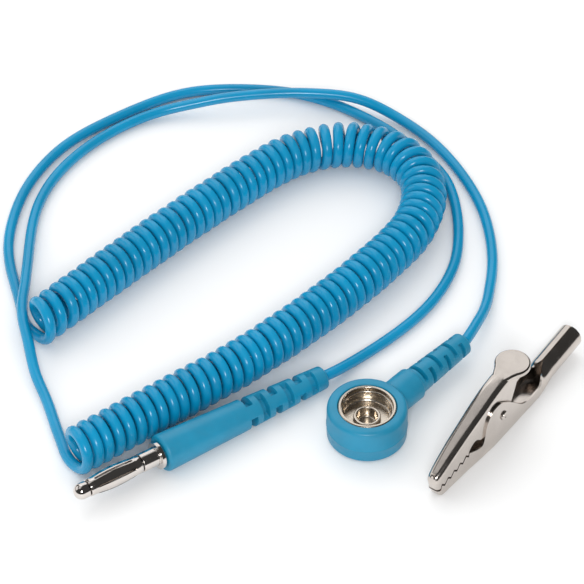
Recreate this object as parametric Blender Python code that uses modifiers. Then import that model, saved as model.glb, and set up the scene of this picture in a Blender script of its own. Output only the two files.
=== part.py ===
"""Coiled grounding cord: a banana plug at one end, a press-stud socket at the other, and a loose crocodile clip.

Metres, +Z up. Everything lies on the plane z = 0. The origin is the centre of the stud socket's underside,
and +Y runs from the clip's nose to its barrel.
"""

import math

import bmesh
import bpy
import numpy as np
from mathutils import Matrix, Vector

MM = 0.001
GAP = 0.3 * MM  # between a cord and what it meets

# Cord
CORD_D = 2.38 * MM
COIL_D = 10.35 * MM
CORD_STEP = 6 * MM  # along a lead
COIL_STEP = 7 * MM  # along the coil

# Stud socket, which stands on the origin
HEAD_R = 8.5 * MM
HEAD_H = 8.4 * MM
CUP_R = 6.15 * MM
CUP_FLOOR = 4.7 * MM
ARM_HEADING = math.radians(82.8)
ARM_Z = 4.2 * MM
ARM_R = 3.7 * MM
ARM_NECK = 14.3 * MM  # where the round neck gives way to the strain relief
ARM_END = 30.6 * MM
RING_SPLIT = math.radians(202)

# Banana plug, placed by the middle of its sleeve's front face
PLUG_PLACE = Vector((-29.17, -32.61, 4.2)) * MM
PLUG_HEADING = math.radians(250.6)  # from the cord to the tip
PLUG_PITCH = math.radians(2.2)  # it lies on its own taper, so the tip points up a little
SLEEVE_R = 4.1 * MM
SLEEVE_REAR_R = 3.4 * MM
SLEEVE_L = 20.0 * MM
PLUG_END = 41.1 * MM  # the strain relief's mouth, behind the front face
PIN_R = 2.0 * MM
BALL_R = 1.75 * MM
TIP = 20.9 * MM
CAGE_FRONT = 17.7 * MM
CAGE_REAR = 5.3 * MM
CAGE_BULGE_R = 2.25 * MM
CAGE_LEAVES = 6

# Strain relief slots, shared by both ends
RELIEF_END_R = 2.55 * MM
CORE_R = 1.75 * MM
SNAP_SLOT_W = 0.9 * MM
PLUG_SLOT_W = 1.55 * MM
SLOT_HALF_ANGLE = math.radians(62)
CONDUCTOR_R = 0.35 * MM
CONDUCTOR_BORE_R = 0.7 * MM

# Crocodile clip, placed by the point of the ground under its pivot
CLIP_PLACE = Vector((21.16, 15.18, 0.0)) * MM
PIVOT_Z = 7.1 * MM
SHEET = 0.4 * MM
PIN_HOLE_R = 1.0 * MM
RIVET_R = 0.75 * MM
LOWER_LEAN = 0.52  # how far each jaw's nose leans forward for each unit of height
UPPER_LEAN = 0.28
TEETH = 10  # half teeth along each jaw
TOOTH_FRONT = -22.2 * MM
TOOTH_PITCH = 1.03 * MM  # from a peak to the next valley
TOOTH_DEPTH = 0.55 * MM
TOOTH_GAP = 0.2 * MM  # each jaw's share of the clearance
PAD_R = 3.8 * MM
PAD_Y = 6.9 * MM
BARREL_R = 2.65 * MM
BARREL_BORE_R = 2.05 * MM
BARREL_START = Vector((0.0, 19.3, 2.9)) * MM
BARREL_L = 11.6 * MM
BARREL_PITCH = math.radians(4.9)
SPRING_R = 1.45 * MM
WIRE_R = 0.275 * MM

# Routes of the two leads and of the coil's axis, in millimetres
SNAP_LEAD_ROUTE = [
    (3.9, 30.8, 4.2), (3.7, 32.7, 4.1), (3.1, 35.6, 3.7), (2.2, 39.2, 3.0), (1.2, 42.7, 2.3),
    (-0.2, 46.4, 1.7), (-2.0, 50.2, 1.4), (-6.2, 57.9, 1.3), (-14.4, 68.1, 1.3), (-22.3, 74.8, 1.3),
    (-31.5, 80.3, 1.3), (-40.6, 83.9, 1.4), (-49.6, 85.4, 1.8), (-56.8, 84.6, 3.2), (-62.4, 82.6, 4.1),
    (-68.2, 79.4, 4.3), (-73.6, 75.8, 4.3), (-79.6, 70.8, 4.3), (-85.5, 65.4, 4.0), (-90.3, 60.9, 3.1),
    (-96.0, 54.9, 1.9), (-100.4, 45.5, 1.4), (-102.4, 34.9, 1.3), (-102.0, 24.3, 1.3), (-99.2, 14.7, 1.4),
    (-94.8, 6.7, 1.9), (-88.6, -2.2, 3.1), (-83.0, -10.3, 4.1), (-78.3, -16.9, 4.3), (-72.5, -22.2, 3.6),
    (-66.2, -27.7, 2.1), (-59.8, -32.0, 1.4), (-52.9, -37.3, 1.3), (-49.3, -40.0, 1.3), (-46.3, -42.2, 1.3),
    (-43.3, -43.3, 1.3),
]
PLUG_LEAD_ROUTE = [
    (-15.4, 6.5, 2.6), (-14.5, 9.7, 2.2), (-13.7, 14.1, 1.5), (-12.4, 19.7, 1.3), (-10.7, 28.5, 1.3),
    (-10.1, 39.8, 1.3), (-12.4, 51.7, 1.3), (-16.2, 59.4, 1.3), (-20.8, 66.0, 1.3), (-27.6, 73.1, 1.3),
    (-33.0, 76.4, 1.3), (-38.8, 78.5, 1.3), (-44.3, 79.9, 1.3), (-49.9, 81.0, 1.3), (-54.9, 81.5, 1.3),
    (-62.0, 81.6, 1.3), (-68.6, 80.8, 1.3), (-75.7, 78.8, 1.3), (-85.9, 73.1, 1.3), (-94.1, 66.2, 1.3),
    (-99.0, 58.8, 1.3), (-103.1, 48.7, 1.3), (-106.2, 37.9, 1.3), (-106.8, 28.4, 1.3), (-104.9, 17.4, 1.3),
    (-101.0, 7.9, 1.3), (-96.4, 0.5, 1.3), (-90.8, -5.5, 1.3), (-85.0, -10.4, 1.3), (-80.9, -14.1, 1.3),
    (-78.4, -16.3, 1.3), (-75.9, -17.5, 1.3), (-73.0, -18.1, 1.3),
]
COIL_ROUTE = [
    (-42.7, -41.4, 5.25), (-40.8, -35.3, 5.25), (-35.8, -19.1, 5.25), (-31.0, -3.6, 5.25),
    (-27.0, 15.2, 5.25), (-24.6, 32.6, 5.25), (-23.8, 48.4, 5.25), (-24.5, 54.3, 5.25),
    (-27.1, 61.6, 5.25), (-31.2, 67.2, 5.25), (-35.5, 70.0, 5.25), (-41.4, 71.3, 5.25),
    (-47.2, 70.1, 5.25), (-53.3, 66.6, 5.25), (-57.7, 61.3, 5.25), (-60.7, 55.4, 5.25),
    (-64.7, 38.5, 5.25), (-67.9, 19.9, 5.25), (-70.6, 0.6, 5.25), (-72.8, -16.2, 5.25),
]


# ---------------------------------------------------------------- scene and materials


def clear_scene():
    for obj in list(bpy.data.objects):
        bpy.data.objects.remove(obj)


def collection(name):
    made = bpy.data.collections.new(name)
    bpy.context.scene.collection.children.link(made)
    return made


def material(name, colour, roughness, metallic):
    made = bpy.data.materials.new(name)
    made.use_nodes = True
    shader = made.node_tree.nodes["Principled BSDF"]
    shader.inputs["Base Color"].default_value = (*colour, 1)
    shader.inputs["Roughness"].default_value = roughness
    shader.inputs["Metallic"].default_value = metallic
    made.diffuse_color = (*colour, 1)
    return made


def keep(obj, finish, frame=None):
    """Makes an object one of the parts, with its material and the frame that it sits in."""
    PARTS.objects.link(obj)
    obj.data.materials.clear()
    obj.data.materials.append(finish)
    obj.parent = frame
    return obj


def helper(obj, frame=None):
    """Makes an object a shape that only cuts or joins others."""
    CUTTERS.objects.link(obj)
    obj.hide_render = True
    obj.display_type = "WIRE"
    obj.parent = frame
    return obj


def frame_along(name, place, heading, pitch=0.0):
    """An empty whose +Z runs along the heading and climbs by the pitch, with +Y as near up as it can be."""
    ahead = Vector((math.cos(heading) * math.cos(pitch), math.sin(heading) * math.cos(pitch), math.sin(pitch)))
    side = Vector((0, 0, 1)).cross(ahead).normalized()
    above = ahead.cross(side)
    made = bpy.data.objects.new(name, None)
    turn = Matrix((side, above, ahead)).transposed().to_4x4()
    made.matrix_world = Matrix.Translation(place) @ turn
    PARTS.objects.link(made)
    return made


def frame_at(name, place):
    made = bpy.data.objects.new(name, None)
    made.location = place
    PARTS.objects.link(made)
    return made


# ---------------------------------------------------------------- shapes


def boolean(obj, other, operation):
    step = obj.modifiers.new(other.name, "BOOLEAN")
    step.operation = operation
    step.object = other
    return obj


def turned(name, profile, steps=40, ring=False):
    """A profile of (radius, height) turned about Z. It runs down the outer side, and back up the inner one in a ring."""
    mesh = bpy.data.meshes.new(name)
    edges = [(i, i + 1) for i in range(len(profile) - 1)]
    if ring:
        edges.append((len(profile) - 1, 0))
    mesh.from_pydata([(radius, 0, height) for radius, height in profile], edges, [])
    obj = bpy.data.objects.new(name, mesh)
    turn = obj.modifiers.new("turn", "SCREW")
    turn.steps = steps
    turn.render_steps = steps
    turn.use_merge_vertices = True
    turn.merge_threshold = 0.000001
    turn.use_smooth_shade = True
    return obj


def meshed(name, curve):
    """The closed mesh of a curve, as a new object."""
    guide = bpy.data.objects.new(name + "_guide", curve)
    bpy.context.scene.collection.objects.link(guide)
    graph = bpy.context.evaluated_depsgraph_get()
    mesh = bpy.data.meshes.new_from_object(guide.evaluated_get(graph))
    bpy.data.objects.remove(guide)
    shape = bmesh.new()
    shape.from_mesh(mesh)
    bmesh.ops.remove_doubles(shape, verts=shape.verts, dist=0.000001)
    bmesh.ops.recalc_face_normals(shape, faces=shape.faces)
    shape.to_mesh(mesh)
    shape.free()
    mesh.name = name
    return bpy.data.objects.new(name, mesh)


def plate(name, outlines, thickness):
    """A flat shape in the XY plane, as thick as said. The outlines after the first are its holes."""
    curve = bpy.data.curves.new(name, "CURVE")
    curve.dimensions = "2D"
    curve.fill_mode = "BOTH"
    curve.extrude = thickness / 2
    for outline in outlines:
        spline = curve.splines.new("POLY")
        spline.points.add(len(outline) - 1)
        spline.use_cyclic_u = True
        for point, (x, y) in zip(spline.points, outline):
            point.co = (x, y, 0, 1)
    return meshed(name, curve)


def side_plate(name, outline, width):
    """A flat shape given by (y, z) points, centred on the plane x = 0."""
    obj = plate(name, [outline], width)
    obj.data.transform(Matrix(((0, 0, 1, 0), (1, 0, 0, 0), (0, 1, 0, 0), (0, 0, 0, 1))))
    return obj


def block(name, low, high):
    """A box between two corners."""
    mesh = bpy.data.meshes.new(name)
    shape = bmesh.new()
    bmesh.ops.create_cube(shape, size=1)
    size = [b - a for a, b in zip(low, high)]
    middle = [(a + b) / 2 for a, b in zip(low, high)]
    bmesh.ops.scale(shape, vec=size, verts=shape.verts)
    bmesh.ops.translate(shape, vec=middle, verts=shape.verts)
    shape.to_mesh(mesh)
    shape.free()
    return bpy.data.objects.new(name, mesh)


def rod(name, radius, low, high, steps=16):
    """A cylinder about Z between two heights."""
    return turned(name, [(0, high), (radius, high), (radius, low), (0, low)], steps)


def arc(radius, start, end, count, centre=(0.0, 0.0)):
    """Points along an arc in the XY plane."""
    angles = np.linspace(start, end, count)
    return [(centre[0] + radius * math.cos(a), centre[1] + radius * math.sin(a)) for a in angles]


def smooth_line(route, step):
    """Evenly spaced points on a natural cubic spline through a route given in millimetres."""
    knots = np.array(route) * MM
    lengths = np.linalg.norm(np.diff(knots, axis=0), axis=1)
    at = np.concatenate([[0], np.cumsum(np.sqrt(lengths))])
    gaps = np.diff(at)
    count = len(knots)
    system = np.eye(count)
    right = np.zeros((count, 3))
    for i in range(1, count - 1):
        system[i, i - 1 : i + 2] = gaps[i - 1], 2 * (gaps[i - 1] + gaps[i]), gaps[i]
        right[i] = 6 * ((knots[i + 1] - knots[i]) / gaps[i] - (knots[i] - knots[i - 1]) / gaps[i - 1])
    bend = np.linalg.solve(system, right)
    fine = []
    for i in range(count - 1):
        for t in np.linspace(0, gaps[i], 24, endpoint=i == count - 2):
            back, ahead = gaps[i] - t, t
            fine.append(
                (bend[i] * back**3 + bend[i + 1] * ahead**3) / (6 * gaps[i])
                + (knots[i] / gaps[i] - bend[i] * gaps[i] / 6) * back
                + (knots[i + 1] / gaps[i] - bend[i + 1] * gaps[i] / 6) * ahead
            )
    fine = np.array(fine)
    run = np.concatenate([[0], np.cumsum(np.linalg.norm(np.diff(fine, axis=0), axis=1))])
    places = np.linspace(0, run[-1], round(run[-1] / step) + 1)
    return [Vector([np.interp(s, run, fine[:, k]) for k in range(3)]) for s in places]


def tube(name, points, radius, sides=2):
    """A round bar along the points, with closed ends."""
    curve = bpy.data.curves.new(name, "CURVE")
    curve.dimensions = "3D"
    curve.bevel_depth = radius
    curve.bevel_resolution = sides
    curve.use_fill_caps = True
    spline = curve.splines.new("POLY")
    spline.points.add(len(points) - 1)
    for point, place in zip(spline.points, points):
        point.co = (*place, 1)
    return bpy.data.objects.new(name, curve)


# ---------------------------------------------------------------- strain relief


def cut_slots(obj, frame, stations, first_angle, width):
    """Cuts pairs of arched slots down to the cord's sheath, each pair a quarter turn from the one before."""
    for index, station in enumerate(stations):
        for half in (0, 1):
            centre = first_angle + index * math.pi / 2 + half * math.pi
            outer = arc(SLEEVE_R + MM, centre - SLOT_HALF_ANGLE, centre + SLOT_HALF_ANGLE, 9)
            inner = arc(CORE_R, centre + SLOT_HALF_ANGLE, centre - SLOT_HALF_ANGLE, 7)
            cutter = helper(plate(f"{obj.name}_slot_{index}_{half}", [outer + inner], width), frame)
            cutter.location.z = station
            boolean(obj, cutter, "DIFFERENCE")


# ---------------------------------------------------------------- stud socket


def snap_body():
    """The moulded head with its neck and strain relief, hollow for the metal socket."""
    foot, edge = 0.4 * MM, 1.0 * MM
    corner = [
        (HEAD_R - edge + edge * math.sin(a), HEAD_H - edge + edge * math.cos(a))
        for a in np.linspace(0, math.pi / 2, 5)
    ]
    outline = [(0, HEAD_H), *corner, (HEAD_R, 3.4 * MM), (HEAD_R - foot, foot), (HEAD_R - 2 * foot, 0), (0, 0)]
    obj = keep(turned("snap_body", outline, 56), RUBBER)

    neck = [
        (0, ARM_END), (RELIEF_END_R - 0.5 * MM, ARM_END), (RELIEF_END_R, ARM_END - 0.5 * MM),
        (3.1 * MM, ARM_NECK), (3.4 * MM, ARM_NECK - 0.3 * MM), (ARM_R, ARM_NECK - 1.3 * MM),
        (ARM_R, 4 * MM), (0, 4 * MM),
    ]
    arm = helper(turned("snap_arm", neck, 28), ARM_FRAME)
    stations = [ARM_NECK + (1.65 + 2.45 * i) * MM for i in range(6)]
    cut_slots(arm, ARM_FRAME, stations, math.pi / 2, SNAP_SLOT_W)
    boolean(obj, arm, "UNION")

    pocket = [
        (0, HEAD_H + MM), (CUP_R + GAP, HEAD_H + MM), (CUP_R + GAP, 4.05 * MM),
        (4.6 * MM, 4.05 * MM), (4.6 * MM, 2.3 * MM), (0, 2.3 * MM),
    ]
    boolean(obj, helper(turned("snap_pocket", pocket, 48)), "DIFFERENCE")
    channel = block(
        "snap_channel",
        (-1.15 * MM, 3.0 * MM - ARM_Z, 3.4 * MM),
        (1.15 * MM, 4.95 * MM - ARM_Z, 8.7 * MM),
    )
    boolean(obj, helper(channel, ARM_FRAME), "DIFFERENCE")
    bore = rod("snap_bore", CONDUCTOR_BORE_R, 8 * MM, ARM_END + MM)
    boolean(obj, helper(bore, ARM_FRAME), "DIFFERENCE")
    return obj


def snap_socket_cup():
    """The pressed metal cup that a 10 mm stud snaps into."""
    hole_r, neck_r, groove_r = 2.75 * MM, 5.3 * MM, 5.85 * MM
    profile = [
        (5.9 * MM, 8.3 * MM), (6.1 * MM, 8.15 * MM), (CUP_R, 7.9 * MM), (CUP_R, 4.35 * MM),
        (hole_r, 4.35 * MM), (hole_r, CUP_FLOOR), (5.1 * MM, CUP_FLOOR), (neck_r, 4.95 * MM),
        (neck_r, 6.3 * MM), (groove_r, 6.45 * MM), (groove_r, 7.85 * MM), (5.45 * MM, 7.95 * MM),
        (5.35 * MM, 8.1 * MM), (5.5 * MM, 8.25 * MM),
    ]
    return keep(turned("snap_socket_cup", profile, 48, ring=True), NICKEL)


def snap_spring_ring():
    """The split wire ring that grips the stud, in the cup's groove."""
    wire_r, half_gap = 0.33 * MM, math.radians(8)
    turn = arc(5.35 * MM, RING_SPLIT + half_gap, RING_SPLIT + 2 * math.pi - half_gap, 44)
    return keep(tube("snap_spring_ring", [(x, y, 7.15 * MM) for x, y in turn], wire_r), STEEL)


def snap_eyelet():
    """The drawn rivet, closed at the bottom, that joins the cup to the solder tag."""
    bore_r, shank_r = 2.2 * MM, 2.45 * MM
    profile = [
        (0, 3.0 * MM), (bore_r, 3.0 * MM), (bore_r, 5.35 * MM), (2.3 * MM, 5.55 * MM), (2.6 * MM, 5.55 * MM),
        (2.85 * MM, 5.35 * MM), (2.85 * MM, 5.15 * MM), (2.7 * MM, 5.0 * MM), (shank_r, 5.0 * MM),
        (shank_r, 3.0 * MM), (2.95 * MM, 3.0 * MM), (2.95 * MM, 2.7 * MM), (0, 2.7 * MM),
    ]
    return keep(turned("snap_eyelet", profile, 32), NICKEL)


def snap_solder_tag():
    """A washer with a tongue that the cord's conductor is soldered to."""
    disc_r, half_tongue, tongue_end = 4.2 * MM, 0.8 * MM, 8.2 * MM
    start = math.asin(half_tongue / disc_r)
    outline = arc(disc_r, start, 2 * math.pi - start, 28) + [(tongue_end, -half_tongue), (tongue_end, half_tongue)]
    hole = arc(2.75 * MM, 0, 2 * math.pi * 23 / 24, 24)
    obj = keep(plate("snap_solder_tag", [outline, hole], 0.3 * MM), BRASS)
    obj.location.z = 3.45 * MM
    obj.rotation_euler.z = ARM_HEADING
    return obj


def snap_conductor():
    """The stranded conductor from the solder tag to the strain relief's mouth."""
    return keep(rod("snap_conductor", CONDUCTOR_R, 6.95 * MM, ARM_END - 0.1 * MM, 12), COPPER, ARM_FRAME)


# ---------------------------------------------------------------- banana plug


def plug_body():
    """The moulded sleeve with its strain relief, hollow for the pin's shank and the resistor."""
    edge = 0.7 * MM
    corner = [
        (SLEEVE_R - edge + edge * math.sin(a), -edge + edge * math.cos(a)) for a in np.linspace(0, math.pi / 2, 5)
    ]
    outline = [
        (0, 0), *corner, (SLEEVE_REAR_R, -SLEEVE_L), (RELIEF_END_R, 0.5 * MM - PLUG_END),
        (RELIEF_END_R - 0.5 * MM, -PLUG_END), (0, -PLUG_END),
    ]
    obj = keep(turned("plug_body", outline, 40), RUBBER, PLUG_FRAME)
    stations = [-SLEEVE_L - (1.45 + 3.2 * i) * MM for i in range(6)]
    cut_slots(obj, PLUG_FRAME, stations, math.radians(45 + 90), PLUG_SLOT_W)
    hollow = rod("plug_hollow", 1.9 * MM, -20.4 * MM, MM, 20)
    boolean(obj, helper(hollow, PLUG_FRAME), "DIFFERENCE")
    bore = rod("plug_bore", CONDUCTOR_BORE_R, -PLUG_END - MM, -20 * MM, 12)
    boolean(obj, helper(bore, PLUG_FRAME), "DIFFERENCE")
    return obj


def banana_pin():
    """The turned pin: ball nose, waist for the spring cage, barrel, flange, shank and solder cup."""
    waist_r, shank_r, cup_r = 1.15 * MM, 1.55 * MM, 1.3 * MM
    nose = [
        (BALL_R * math.sin(a), TIP - BALL_R + BALL_R * math.cos(a)) for a in np.linspace(0, math.pi / 2, 8)
    ]
    profile = [
        *nose, (BALL_R, CAGE_FRONT + GAP), (waist_r, CAGE_FRONT + GAP), (waist_r, CAGE_REAR - GAP),
        (PIN_R, CAGE_REAR - GAP), (PIN_R, 1.2 * MM), (3.0 * MM, 1.2 * MM), (3.0 * MM, GAP),
        (shank_r, GAP), (shank_r, -6 * MM), (cup_r, -6 * MM), (cup_r, -8.5 * MM),
        (0.7 * MM, -8.5 * MM), (0.7 * MM, -6.4 * MM), (0, -6.4 * MM),
    ]
    return keep(turned("banana_pin", profile, 32), NICKEL, PLUG_FRAME)


def banana_spring_cage():
    """The slotted cage whose bulging leaves grip a 4 mm socket. It turns freely on the pin's waist."""
    wall = 0.3 * MM
    middle = (CAGE_FRONT + CAGE_REAR) / 2
    reach = middle - CAGE_REAR - 1.3 * MM

    def radius(height):
        """The outer radius: plain rings at the ends and a smooth bulge between them."""
        ends = BALL_R + 0.1 * MM + 0.1 * MM * (CAGE_FRONT - height) / (CAGE_FRONT - CAGE_REAR)
        inward = max(0.0, 1 - ((height - middle) / reach) ** 2)
        return ends + (CAGE_BULGE_R - ends) * inward

    heights = [CAGE_FRONT, *np.linspace(middle + reach, middle - reach, 13), CAGE_REAR]
    profile = [(radius(h), h) for h in heights] + [(radius(h) - wall, h) for h in reversed(heights)]
    obj = keep(turned("banana_spring_cage", profile, 36, ring=True), NICKEL, PLUG_FRAME)
    slot_reach = reach - 0.3 * MM
    for index in range(CAGE_LEAVES):
        low = (0, -0.22 * MM, middle - slot_reach)
        high = (4 * MM, 0.22 * MM, middle + slot_reach)
        slot = helper(block(f"cage_slot_{index}", low, high), PLUG_FRAME)
        slot.rotation_euler.z = (index + 0.5) * 2 * math.pi / CAGE_LEAVES
        boolean(obj, slot, "DIFFERENCE")
    return obj


def plug_insides():
    """The resistor that limits the current, its leads, and the crimp that joins it to the cord's conductor."""
    body = [
        (0, -10 * MM), (0.9 * MM, -10 * MM), (1.2 * MM, -10.4 * MM), (1.2 * MM, -11.4 * MM),
        (1.0 * MM, -11.9 * MM), (1.0 * MM, -14.1 * MM), (1.2 * MM, -14.6 * MM), (1.2 * MM, -15.6 * MM),
        (0.9 * MM, -16 * MM), (0, -16 * MM),
    ]
    keep(turned("resistor_body", body, 24), RESISTOR, PLUG_FRAME)
    keep(rod("resistor_lead_front", 0.3 * MM, -9.7 * MM, -6.9 * MM, 12), COPPER, PLUG_FRAME)
    keep(rod("resistor_lead_rear", 0.3 * MM, -18.6 * MM, -16.3 * MM, 12), COPPER, PLUG_FRAME)
    crimp = [(1.0 * MM, -17.2 * MM), (1.0 * MM, -20.1 * MM), (0.6 * MM, -20.1 * MM), (0.6 * MM, -17.2 * MM)]
    keep(turned("conductor_crimp", crimp, 20, ring=True), BRASS, PLUG_FRAME)
    keep(rod("plug_conductor", CONDUCTOR_R, -PLUG_END + 0.1 * MM, -19 * MM, 12), COPPER, PLUG_FRAME)


# ---------------------------------------------------------------- cord


def cord():
    """The two leads and the coil. Each lead stops short of the coil and of the strain relief by the gap."""
    keep(tube("snap_lead", smooth_line(SNAP_LEAD_ROUTE, CORD_STEP), CORD_D / 2), CORD)
    keep(tube("plug_lead", smooth_line(PLUG_LEAD_ROUTE, CORD_STEP), CORD_D / 2), CORD)
    keep(tube("coil", smooth_line(COIL_ROUTE, COIL_STEP), COIL_D / 2, 4), CORD)


# ---------------------------------------------------------------- crocodile clip


def tooth_line(share):
    """The zigzag between the jaws as (y, z) points from back to front, moved up by the share of the clearance."""
    points = []
    for i in range(TEETH, -1, -1):
        y = TOOTH_FRONT + i * TOOTH_PITCH
        middle = 3.1 * MM + 0.19 * (y - TOOTH_FRONT)
        points.append((y, middle + share * TOOTH_GAP + (TOOTH_DEPTH if i % 2 else -TOOTH_DEPTH)))
    return points


def plan_prism(name, half_widths, inset, nose, lean):
    """A tall prism over the jaw's plan. It leans forward with the nose, and its front corners are round."""
    height = 40 * MM
    corner = 0.9 * MM - inset
    front = half_widths[0][1] * MM - inset
    right = [(front - corner + x, nose + inset + corner + y) for x, y in arc(corner, -math.pi / 2, 0, 5)]
    right += [(half * MM - inset, y * MM) for y, half in half_widths[1:]]
    left = [(-x, y) for x, y in reversed(right)]
    obj = plate(name, [right + left], height)
    obj.data.transform(Matrix.Translation((0, 0, height / 2 - 5 * MM)))
    obj.data.transform(Matrix(((1, 0, 0, 0), (0, 1, -lean, 0), (0, 0, 1, 0), (0, 0, 0, 1))))
    return obj


def pivot_hole(frame, name):
    """A cylinder across the clip, on the pivot."""
    obj = helper(rod(name, PIN_HOLE_R, -5 * MM, 5 * MM, 20), frame)
    obj.rotation_euler.y = math.pi / 2
    obj.location = (0, 0, PIVOT_Z)
    return obj


def clip_lower_jaw():
    """One sheet: a trough with ears for the pivot, teeth at the nose, and a tail rolled into a barrel."""
    outline = [
        (-21.0, 0), (17.5, 0), (20.0, 0.25), (20.0, 5.5), (18.8, 5.2), (17.2, 4.2), (15.5, 3.6), (13.0, 3.15),
        (10.5, 3.1), (7.4, 4.1), (3.2, 8.5), (0.6, 10.4), (-1.3, 11.5), (-2.8, 11.9), (-4.2, 11.7),
        (-5.3, 10.6), (-6.1, 9.0), (-6.5, 6.4), (-7.0, 4.1), (-8.0, 3.8),
    ]
    outline = [(y * MM, z * MM) for y, z in outline] + tooth_line(-1)
    obj = keep(side_plate("clip_lower_jaw", outline, 8 * MM), NICKEL, CLIP_FRAME)
    half_widths = [(-21, 1.5), (-20, 1.5), (-12, 2.0), (-7, 2.55), (0, 2.7), (16, 2.7), (24, 2.7)]
    plan = plan_prism("lower_jaw_plan", half_widths, 0, -21.0 * MM, LOWER_LEAN)
    boolean(obj, helper(plan, CLIP_FRAME), "INTERSECT")
    trough = plan_prism("lower_jaw_trough", half_widths, SHEET, -21.0 * MM, LOWER_LEAN)
    floor = block("lower_jaw_floor", (-9 * MM, -60 * MM, -9 * MM), (9 * MM, 60 * MM, SHEET))
    boolean(trough, helper(floor, CLIP_FRAME), "DIFFERENCE")
    boolean(obj, helper(trough, CLIP_FRAME), "DIFFERENCE")
    boolean(obj, pivot_hole(CLIP_FRAME, "lower_pivot_hole"), "DIFFERENCE")

    barrel = helper(rod("barrel", BARREL_R, 0, BARREL_L, 32), CLIP_FRAME)
    bore = helper(rod("barrel_bore", BARREL_BORE_R, -2 * MM, BARREL_L + MM, 28), CLIP_FRAME)
    seam = helper(block("barrel_seam", (-0.15 * MM, 0, -2 * MM), (0.15 * MM, 4 * MM, BARREL_L + MM)), CLIP_FRAME)
    for shape in (barrel, bore, seam):
        shape.location = BARREL_START
        shape.rotation_euler.x = BARREL_PITCH - math.pi / 2
    seam.rotation_euler = (BARREL_PITCH + math.pi / 2, 0, math.pi)
    boolean(obj, barrel, "UNION")
    boolean(obj, bore, "DIFFERENCE")
    boolean(obj, seam, "DIFFERENCE")
    return obj


def clip_upper_jaw():
    """One sheet: a channel with teeth at the nose, pivoted inside the lower jaw's ears, and a round thumb pad."""
    top = [
        (-23.2, 5.6), (-22.7, 6.3), (-21.7, 6.9), (-18.7, 8.4), (-14.7, 10.2), (-10.7, 11.7), (-6.7, 13.2),
        (-2.7, 14.6), (1.3, 15.35), (3.2, 15.45),
    ]
    rear = [
        (6.0, 15.3), (5.3, 11.3), (3.9, 7.9), (3.0, 6.0), (1.5, 5.1), (-3.0, 5.1), (-6.0, 5.6), (-7.7, 5.9),
        (-9.0, 7.1), (-11.0, 6.5),
    ]
    outline = [(y * MM, z * MM) for y, z in top + rear] + tooth_line(1)
    obj = keep(side_plate("clip_upper_jaw", outline, 8 * MM), NICKEL, UPPER_FRAME)
    half_widths = [(-21, 1.5), (-20, 1.5), (-12, 1.85), (-7, 1.95), (0, 2.1), (24, 2.1)]
    plan = plan_prism("upper_jaw_plan", half_widths, 0, -21.5 * MM, UPPER_LEAN)
    boolean(obj, helper(plan, UPPER_FRAME), "INTERSECT")
    inside = [(y * MM + 0.4 * SHEET, z * MM - 0.95 * SHEET) for y, z in top]
    inside = [(-30 * MM, inside[0][1]), *inside, (12 * MM, 14.9 * MM), (12 * MM, -4 * MM), (-30 * MM, -4 * MM)]
    hollow = helper(side_plate("upper_jaw_hollow", inside, 8 * MM), UPPER_FRAME)
    lane = helper(plan_prism("upper_jaw_lane", half_widths, SHEET, -21.5 * MM, UPPER_LEAN), UPPER_FRAME)
    boolean(hollow, lane, "INTERSECT")
    boolean(obj, hollow, "DIFFERENCE")
    boolean(obj, pivot_hole(UPPER_FRAME, "upper_pivot_hole"), "DIFFERENCE")

    pad_outline = arc(PAD_R, math.radians(-55), math.radians(235), 30, (0, PAD_Y))
    pad_outline += [(-2.1 * MM, 1.2 * MM), (2.1 * MM, 1.2 * MM)]
    pad = helper(plate("thumb_pad", [pad_outline], 0.5 * MM), UPPER_FRAME)
    pad.location.z = 15.15 * MM
    boolean(obj, pad, "UNION")
    for shape in [obj, *(step.object for step in obj.modifiers), lane]:
        shape.location.z -= PIVOT_Z
    return obj


def clip_pivot_pin():
    """The rivet that the upper jaw turns on, with a low head outside each ear."""
    reach, head_r, head_t, ear = 3.2 * MM, 1.25 * MM, 0.3 * MM, 2.9 * MM
    profile = [
        (0, reach), (head_r * 0.8, reach), (head_r, ear + head_t / 2), (head_r, ear), (RIVET_R, ear),
        (RIVET_R, -ear), (head_r, -ear), (head_r, -ear - head_t / 2), (head_r * 0.8, -reach), (0, -reach),
    ]
    obj = keep(turned("clip_pivot_pin", profile, 20), STEEL, CLIP_FRAME)
    obj.rotation_euler.y = math.pi / 2
    obj.location.z = PIVOT_Z
    return obj


def clip_spring():
    """The torsion spring round the rivet: one leg lies in the trough and the other lifts the thumb pad."""
    half_width = 0.95 * MM
    floor_end = Vector((9.5 * MM, 0.95 * MM - PIVOT_Z))
    pad_end = Vector((5.0 * MM, 14.2 * MM - PIVOT_Z))

    def tangent_angle(point, side):
        return math.atan2(point.y, point.x) + side * math.acos(SPRING_R / point.length)

    start = tangent_angle(floor_end, 1)
    end = tangent_angle(pad_end, -1) + 6 * math.pi
    count = 36
    path = [Vector((-half_width, *floor_end))]
    for i in range(count + 1):
        angle = start + (end - start) * i / count
        across = half_width * (2 * i / count - 1)
        path.append(Vector((across, SPRING_R * math.cos(angle), SPRING_R * math.sin(angle))))
    path.append(Vector((half_width, *pad_end)))
    obj = keep(tube("clip_spring", path, WIRE_R), STEEL, CLIP_FRAME)
    obj.location.z = PIVOT_Z
    return obj


# ---------------------------------------------------------------- assembly

clear_scene()
PARTS = collection("grounding_cord_set")
CUTTERS = collection("cutters")

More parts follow.
